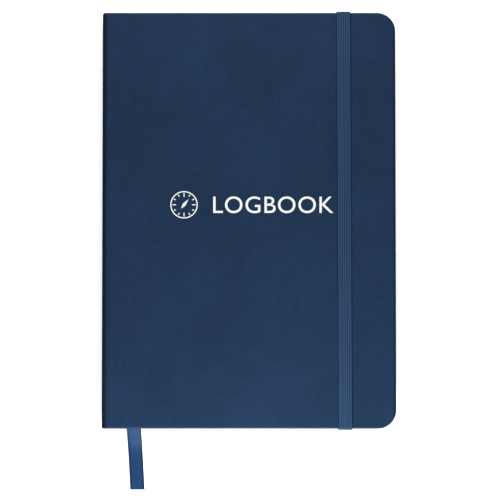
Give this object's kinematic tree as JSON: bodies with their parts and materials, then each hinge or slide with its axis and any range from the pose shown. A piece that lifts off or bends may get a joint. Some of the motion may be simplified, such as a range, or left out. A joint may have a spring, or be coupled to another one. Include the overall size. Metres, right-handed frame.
{
  "type": "pilot logbook",
  "caption": "A5 hardback pilot's logbook with a soft case, sewn pages, elastic closure and ribbon marker; it opens at the cover or flat in the middle.",
  "frame": {"origin": "centre of the back cover's outer face, on the table that the closed book lies on", "axes": "+X from the spine to the fore edge, +Y from the tail to the head of the pages, +Z from the back cover to the front cover"},
  "size_m": [0.148, 0.2411, 0.0174],
  "materials": {
    "case_skin": "soft matt, finely grained",
    "board": "raw grey-brown card",
    "endpaper": "smooth cream",
    "page": "smooth cream",
    "elastic": "ribbed elastic webbing",
    "ribbon": "satin with woven edges",
    "thread": "waxed linen thread",
    "mull": "open woven cloth",
    "headband": "woven silk bead"
  },
  "bodies": {
    "back_cover": {"back_cover_skin": "case_skin", "back_board": "board", "back_pastedown": "endpaper", "back_flyleaf": "endpaper", "signature_01": "page", "signature_02": "page", "signature_03": "page", "signature_04": "page", "signature_05": "page", "signature_06": "page", "sewing_thread_back": "thread", "ribbon_marker": "ribbon"},
    "spine": {"spine_skin": "case_skin", "spine_board": "board", "spine_mull": "mull", "headband_head": "headband", "headband_tail": "headband"},
    "front_half": {"signature_07": "page", "signature_08": "page", "signature_09": "page", "signature_10": "page", "signature_11": "page", "signature_12": "page", "front_flyleaf": "endpaper", "sewing_thread_front": "thread"},
    "front_cover": {"front_cover_skin": "case_skin", "front_board": "board", "front_pastedown": "endpaper"},
    "middle_leaf": {"middle_leaf": "page"},
    "elastic": {"elastic_band": "elastic"},
    "ribbon_tail": {"ribbon_tail": "ribbon"}
  },
  "joints": [
    {"name": "book_open", "type": "hinge", "parent": "back_cover", "child": "spine", "pos_m": [-0.074, 0, 0], "axis": [0, -1, 0], "range_deg": [0, 90]},
    {"name": "front_half_turn", "type": "hinge", "parent": "spine", "child": "front_half", "pos_m": [-0.074, 0, 0.0168], "axis": [0, -1, 0], "range_deg": [0, 90]},
    {"name": "front_cover_open", "type": "hinge", "parent": "front_half", "child": "front_cover", "pos_m": [-0.074, 0, 0.0168], "axis": [0, 1, 0], "range_deg": [-179, 0]},
    {"name": "middle_leaf_turn", "type": "hinge", "parent": "spine", "child": "middle_leaf", "pos_m": [-0.0713, 0, 0.0085], "axis": [0, -1, 0], "range_deg": [0, 22.5]},
    {"name": "elastic_release", "type": "slide", "parent": "back_cover", "child": "elastic", "axis": [0, 0, -1], "range_m": [0, 0.0175], "deforming": ["elastic_band"]},
    {"name": "ribbon_lift", "type": "hinge", "parent": "back_cover", "child": "ribbon_tail", "pos_m": [-0.0584, -0.1023, 0.00829], "axis": [-1, 0, 0], "range_deg": [0, 45]}
  ],
  "couplings": [
    {"joint": "front_half_turn", "follows": "book_open", "ratio": 1},
    {"joint": "middle_leaf_turn", "follows": "book_open", "ratio": 0.25},
    {"joint": "elastic_release", "follows": "book_open", "m_per_rad": 0.0111}
  ]
}
